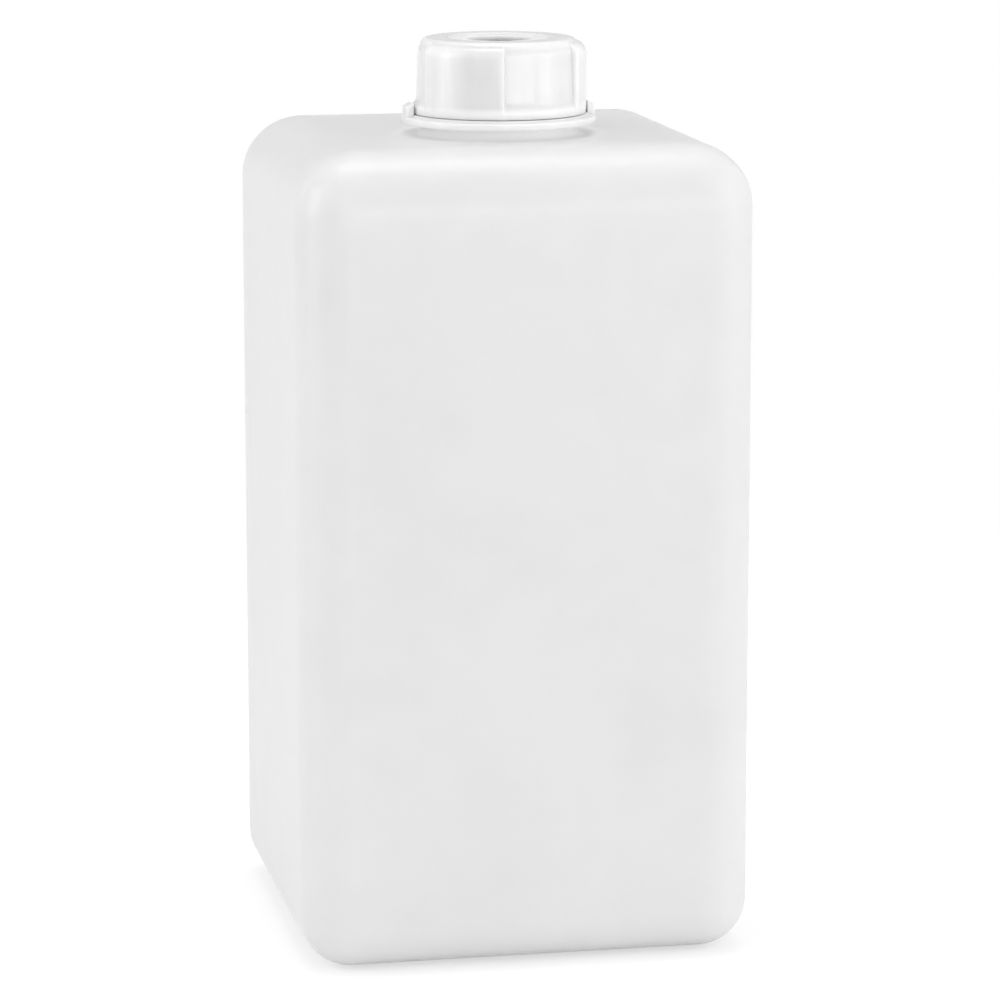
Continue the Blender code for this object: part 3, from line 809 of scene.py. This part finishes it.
# %% Grow the cap
def ring_pair(radius, height, grip_radius, grip_height, share=1.0):
    """A ring of the plain outline and its partner at the grips. A share of 0 keeps it plain all round."""
    return {
        "radius": radius, "height": height,
        "grip_radius": grip_radius, "grip_height": grip_height, "share": share,
    }


def both(points):
    """Rings where both outlines are the same."""
    return [ring_pair(r, z, r, z, 0.0) for r, z in points]


cap_rings = both(top + shoulder)
cap_rings += [ring_pair(*point, *grip_point) for point, grip_point in zip(plain, ear)]
for share in steps(12):
    z = SKIRT_START + (BEAD_TOP + 0.0012 - SKIRT_START) * share
    cap_rings.append(ring_pair(SKIRT_TOP + (SKIRT_BOTTOM - SKIRT_TOP) * share, z, GRIP, z))
fillet = [(0.01582, 0.0009), (0.01590, 0.0006), (0.01602, 0.00032), (0.01617, 0.0001)]
fillet += [(0.01634, -0.0001), (0.01650, -0.0003), (BEAD, -0.0006)]
cap_rings += [ring_pair(r, BEAD_TOP + rise, GRIP, BEAD_TOP + rise) for r, rise in fillet]
cap_rings.append(ring_pair(BEAD, BEAD_TOP - 0.0008, GRIP - 0.00002, BEAD_TOP - 0.0008))
low = arc_points(BEAD - 0.0002, CAP_BOTTOM + 0.0002, 0.0002, 0.0, -90.0, 5)
low += [(CAP_BORE + 0.0006, CAP_BOTTOM), (CAP_BORE + 0.0003, CAP_BOTTOM)]
low += arc_points(CAP_BORE + 0.0003, CAP_BOTTOM + 0.0003, 0.0003, 270.0, 180.0, 3)[1:]
low += line_points((CAP_BORE, CAP_BOTTOM + 0.0003), (CAP_BORE, CAP_CEILING - 0.0006), 8)
low += arc_points(CAP_BORE - 0.0006, CAP_CEILING - 0.0006, 0.0006, 0.0, 90.0, 4)[1:]
low += line_points((CAP_BORE - 0.0006, CAP_CEILING), (HOLE + 0.0002, CAP_CEILING), 5)
low += arc_points(HOLE + 0.0002, CAP_CEILING + 0.0002, 0.0002, 270.0, 180.0, 3)[1:]
low += [top[0]]
cap_rings += both(low)
cap = grown(
    "moulded_cap",
    seed_mesh("cap_rings", cap_rings),
    grip_tree,
    {
        "Columns": 480, "Grips": 3, "Half Angle": math.radians(30.5), "First Middle": math.radians(-8),
        "Edge": math.radians(1.3), "Forward": NECK_FORWARD, "Finish": glossy,
    },
)

# %% [markdown]
# Inside the skirt runs the cap's own ridge. It starts a little under the neck's ridge, so that the two
# slide past each other with about a quarter of a millimetre between them.

# %% The thread in the cap
cap_ridge = grown(
    "cap_ridge",
    seed_mesh("cap_ridge_section", ridge_section(THREAD_FOOT, THREAD_CREST)),
    ridge_tree,
    {
        "Steps": 80, "Turns": 1.25, "Pitch": THREAD_PITCH, "Radius": CAP_BORE, "Depth": THREAD_DEPTH,
        "Sink": 0.0003, "Start": 0.1619, "Way": -1.0, "Run Out": math.radians(25), "Forward": NECK_FORWARD,
        "Finish": glossy,
    },
)
joined_solid(cap, [cap_ridge])

# %% [markdown]
# ## The sealing disc
#
# The disc is a stamped round of foam. The lip of the neck has pressed a shallow ring into its underside,
# and the cap's plate has left one on top. It is grown from round rings with the same tree as the bottle.

# %% The sealing disc
SEAL_LOW = 0.1719
SEAL_HIGH = 0.1727
SEAL_RADIUS = 0.0137
under = [(0.0, SEAL_LOW), (0.004, SEAL_LOW), (0.0085, SEAL_LOW), (0.0104, SEAL_LOW)]
under += [(0.0107, SEAL_LOW + 0.00008), (0.0116, SEAL_LOW + 0.0001)]
under += [(0.0125, SEAL_LOW + 0.00008), (0.0128, SEAL_LOW)]
rim = arc_points(SEAL_RADIUS - 0.0002, SEAL_LOW + 0.0002, 0.0002, -90.0, 0.0, 4)
rim += arc_points(SEAL_RADIUS - 0.0002, SEAL_HIGH - 0.0002, 0.0002, 0.0, 90.0, 4)
over = [(0.0105, SEAL_HIGH), (0.0068, SEAL_HIGH), (0.0062, SEAL_HIGH - 0.00006), (0.0056, SEAL_HIGH)]
over += [(0.0030, SEAL_HIGH), (0.0012, SEAL_HIGH - 0.00003), (0.0, SEAL_HIGH - 0.00006)]
disc = grown(
    "foam_disc",
    seed_mesh("disc_rings", [round_ring(z, r) for r, z in under + rim + over]),
    skin_tree,
    {"Columns": 144, "Forward": NECK_FORWARD, "Finish": foam},
)

# %% [markdown]
# ## What moves with what
#
# Each piece rides on the body of the node that it stands for, and hides that node. The cap then turns and
# rises with its joint, and the disc rises with it.

# %% Ride and replace
for piece, body, node, slot in (
    (bottle, "bottle", "bottle", "milky_polyethylene"),
    (cap, "cap", "screw_cap", "glossy_polypropylene"),
    (disc, "seal", "seal_disc", "seal_foam"),
):
    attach(piece, body)
    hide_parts(node)
    print(piece.name, "rides on", body, "and stands for", node)

# %% [markdown]
# ## Floor, light and view
#
# The photograph is a product shot on white. The floor shows white to the camera and in reflections, but
# near the bottle part of its shader is a plain diffuse one, so it still darkens a little where the bottle
# keeps the light off. The world gives an even light. A tall soft lamp at the right and one at the left draw
# the bright bands down the soft edges and on the glossy cap, a wide low one fills the front, and one right
# above lights the flat top. Between the left lamp and the front lamp there is nothing bright, which deepens
# the dark patch on the grip that faces that way. The grey card takes the white away that the flat top would
# mirror.

# %% Floor
# FLOOR_SHADE is the tone of the plain shader next to the bottle, and FLOOR_LIGHT says how much of its own
# glow the floor gives up for it. Both fade away between SHADE_NEAR and SHADE_FAR, in metres.
FLOOR_RADIUS = 6.0
FLOOR_SHADE = 0.50
FLOOR_LIGHT = 0.90
SHADE_NEAR = 0.16
SHADE_FAR = 0.60

bm = bmesh.new()
bmesh.ops.create_circle(bm, cap_ends=True, segments=96, radius=FLOOR_RADIUS)
mesh = bpy.data.meshes.new("floor")
bm.to_mesh(mesh)
bm.free()
floor = bpy.data.objects.new("floor", mesh)
bpy.context.scene.collection.objects.link(floor)
white, tree, shader = blank_material("white_floor")


def seen_rays(tree):
    """1 for rays from the camera, from a glossy surface or through a clear one, and 0 for all others."""
    path = add(tree, "ShaderNodeLightPath")
    both_kinds = maths(tree, "MAXIMUM", path.outputs["Is Camera Ray"], path.outputs["Is Glossy Ray"])
    return maths(tree, "MAXIMUM", both_kinds, path.outputs["Is Transmission Ray"])


shader.inputs["Base Color"].default_value = (0.90, 0.90, 0.90, 1.0)
shader.inputs["Roughness"].default_value = 0.9
shader.inputs["Specular IOR Level"].default_value = 0.0
spot = add(tree, "ShaderNodeTexCoord").outputs["Object"]
away = add(tree, "ShaderNodeVectorMath", {0: spot}, operation="LENGTH").outputs["Value"]
shaded = eased(tree, away, SHADE_NEAR, SHADE_FAR, FLOOR_SHADE, 0.0)
shade = add(tree, "ShaderNodeBsdfDiffuse", {"Color": grey(tree, shaded)})
glow = add(tree, "ShaderNodeEmission", {"Color": (1.0, 1.0, 1.0, 1.0)})
tree.links.new(maths(tree, "MULTIPLY_ADD", shaded, -FLOOR_LIGHT, 1.0), glow.inputs["Strength"])
shown = add(tree, "ShaderNodeAddShader", {0: glow.outputs[0], 1: shade.outputs[0]})
mixed = add(tree, "ShaderNodeMixShader", {0: seen_rays(tree), 1: shader.outputs[0], 2: shown.outputs[0]})
tree.links.new(mixed.outputs[0], tree.nodes["Material Output"].inputs["Surface"])
mesh.materials.append(white)
print("floor radius:", FLOOR_RADIUS, "m")

# %% Grey card behind the bottle
CARD_AWAY = 1.5
CARD_GREY = 0.72

bm = bmesh.new()
corners = ((-0.9, 0.22), (1.5, 0.22), (1.5, 1.5), (-0.9, 1.5))
bm.faces.new([bm.verts.new((x, CARD_AWAY, z)) for x, z in corners])
mesh = bpy.data.meshes.new("grey_card")
bm.to_mesh(mesh)
bm.free()
card = bpy.data.objects.new("grey_card", mesh)
card.visible_camera = False
bpy.context.scene.collection.objects.link(card)
paper, tree, shader = blank_material("grey_paper")
shader.inputs["Base Color"].default_value = (CARD_GREY, CARD_GREY, CARD_GREY, 1.0)
shader.inputs["Roughness"].default_value = 0.9
shader.inputs["Specular IOR Level"].default_value = 0.0
mesh.materials.append(paper)
print("card:", [round(value, 2) for value in card.dimensions], "m")

# %% World and lamps
WORLD_LIGHT = 0.72
LAMPS_AIM = (0.0, 0.0, 0.09)

world = bpy.data.worlds.new("even_light")
bpy.context.scene.world = world
world.use_nodes = True
tree = world.node_tree
room = tree.nodes["Background"]
room.inputs["Color"].default_value = (1.0, 1.0, 1.0, 1.0)
room.inputs["Strength"].default_value = WORLD_LIGHT
seen = add(tree, "ShaderNodeBackground", {"Color": (1.0, 1.0, 1.0, 1.0), "Strength": 1.0})
mixed = add(tree, "ShaderNodeMixShader", {0: seen_rays(tree), 1: room.outputs[0], 2: seen.outputs[0]})
tree.links.new(mixed.outputs[0], tree.nodes["World Output"].inputs["Surface"])


def soft_lamp(name, azimuth, distance, height, width, tall, watts):
    """A soft lamp that stands at an angle about the bottle and faces its middle."""
    data = bpy.data.lights.new(name, "AREA")
    data.shape = "RECTANGLE"
    data.size = width
    data.size_y = tall
    data.energy = watts
    lamp = bpy.data.objects.new(name, data)
    turn = math.radians(azimuth)
    lamp.location = (distance * math.cos(turn), distance * math.sin(turn), height)
    aim = Vector(LAMPS_AIM) - lamp.location
    lamp.rotation_euler = aim.to_track_quat("-Z", "Y").to_euler()
    lamp.visible_camera = False
    bpy.context.scene.collection.objects.link(lamp)
    return lamp


lamps = [
    soft_lamp("right_strip", -33.0, 0.80, 0.30, 0.34, 0.58, 1.2),
    soft_lamp("left_strip", -173.0, 0.70, 0.34, 0.30, 0.58, 1.35),
    soft_lamp("front_lamp", -76.0, 1.50, 0.24, 1.40, 0.48, 5.3),
    soft_lamp("top_lamp", 90.0, 0.08, 1.10, 0.60, 0.5, 2.8),
]
print("lamps:", [lamp.name for lamp in lamps])

# %% View settings
bpy.context.scene.view_settings.view_transform = "Standard"
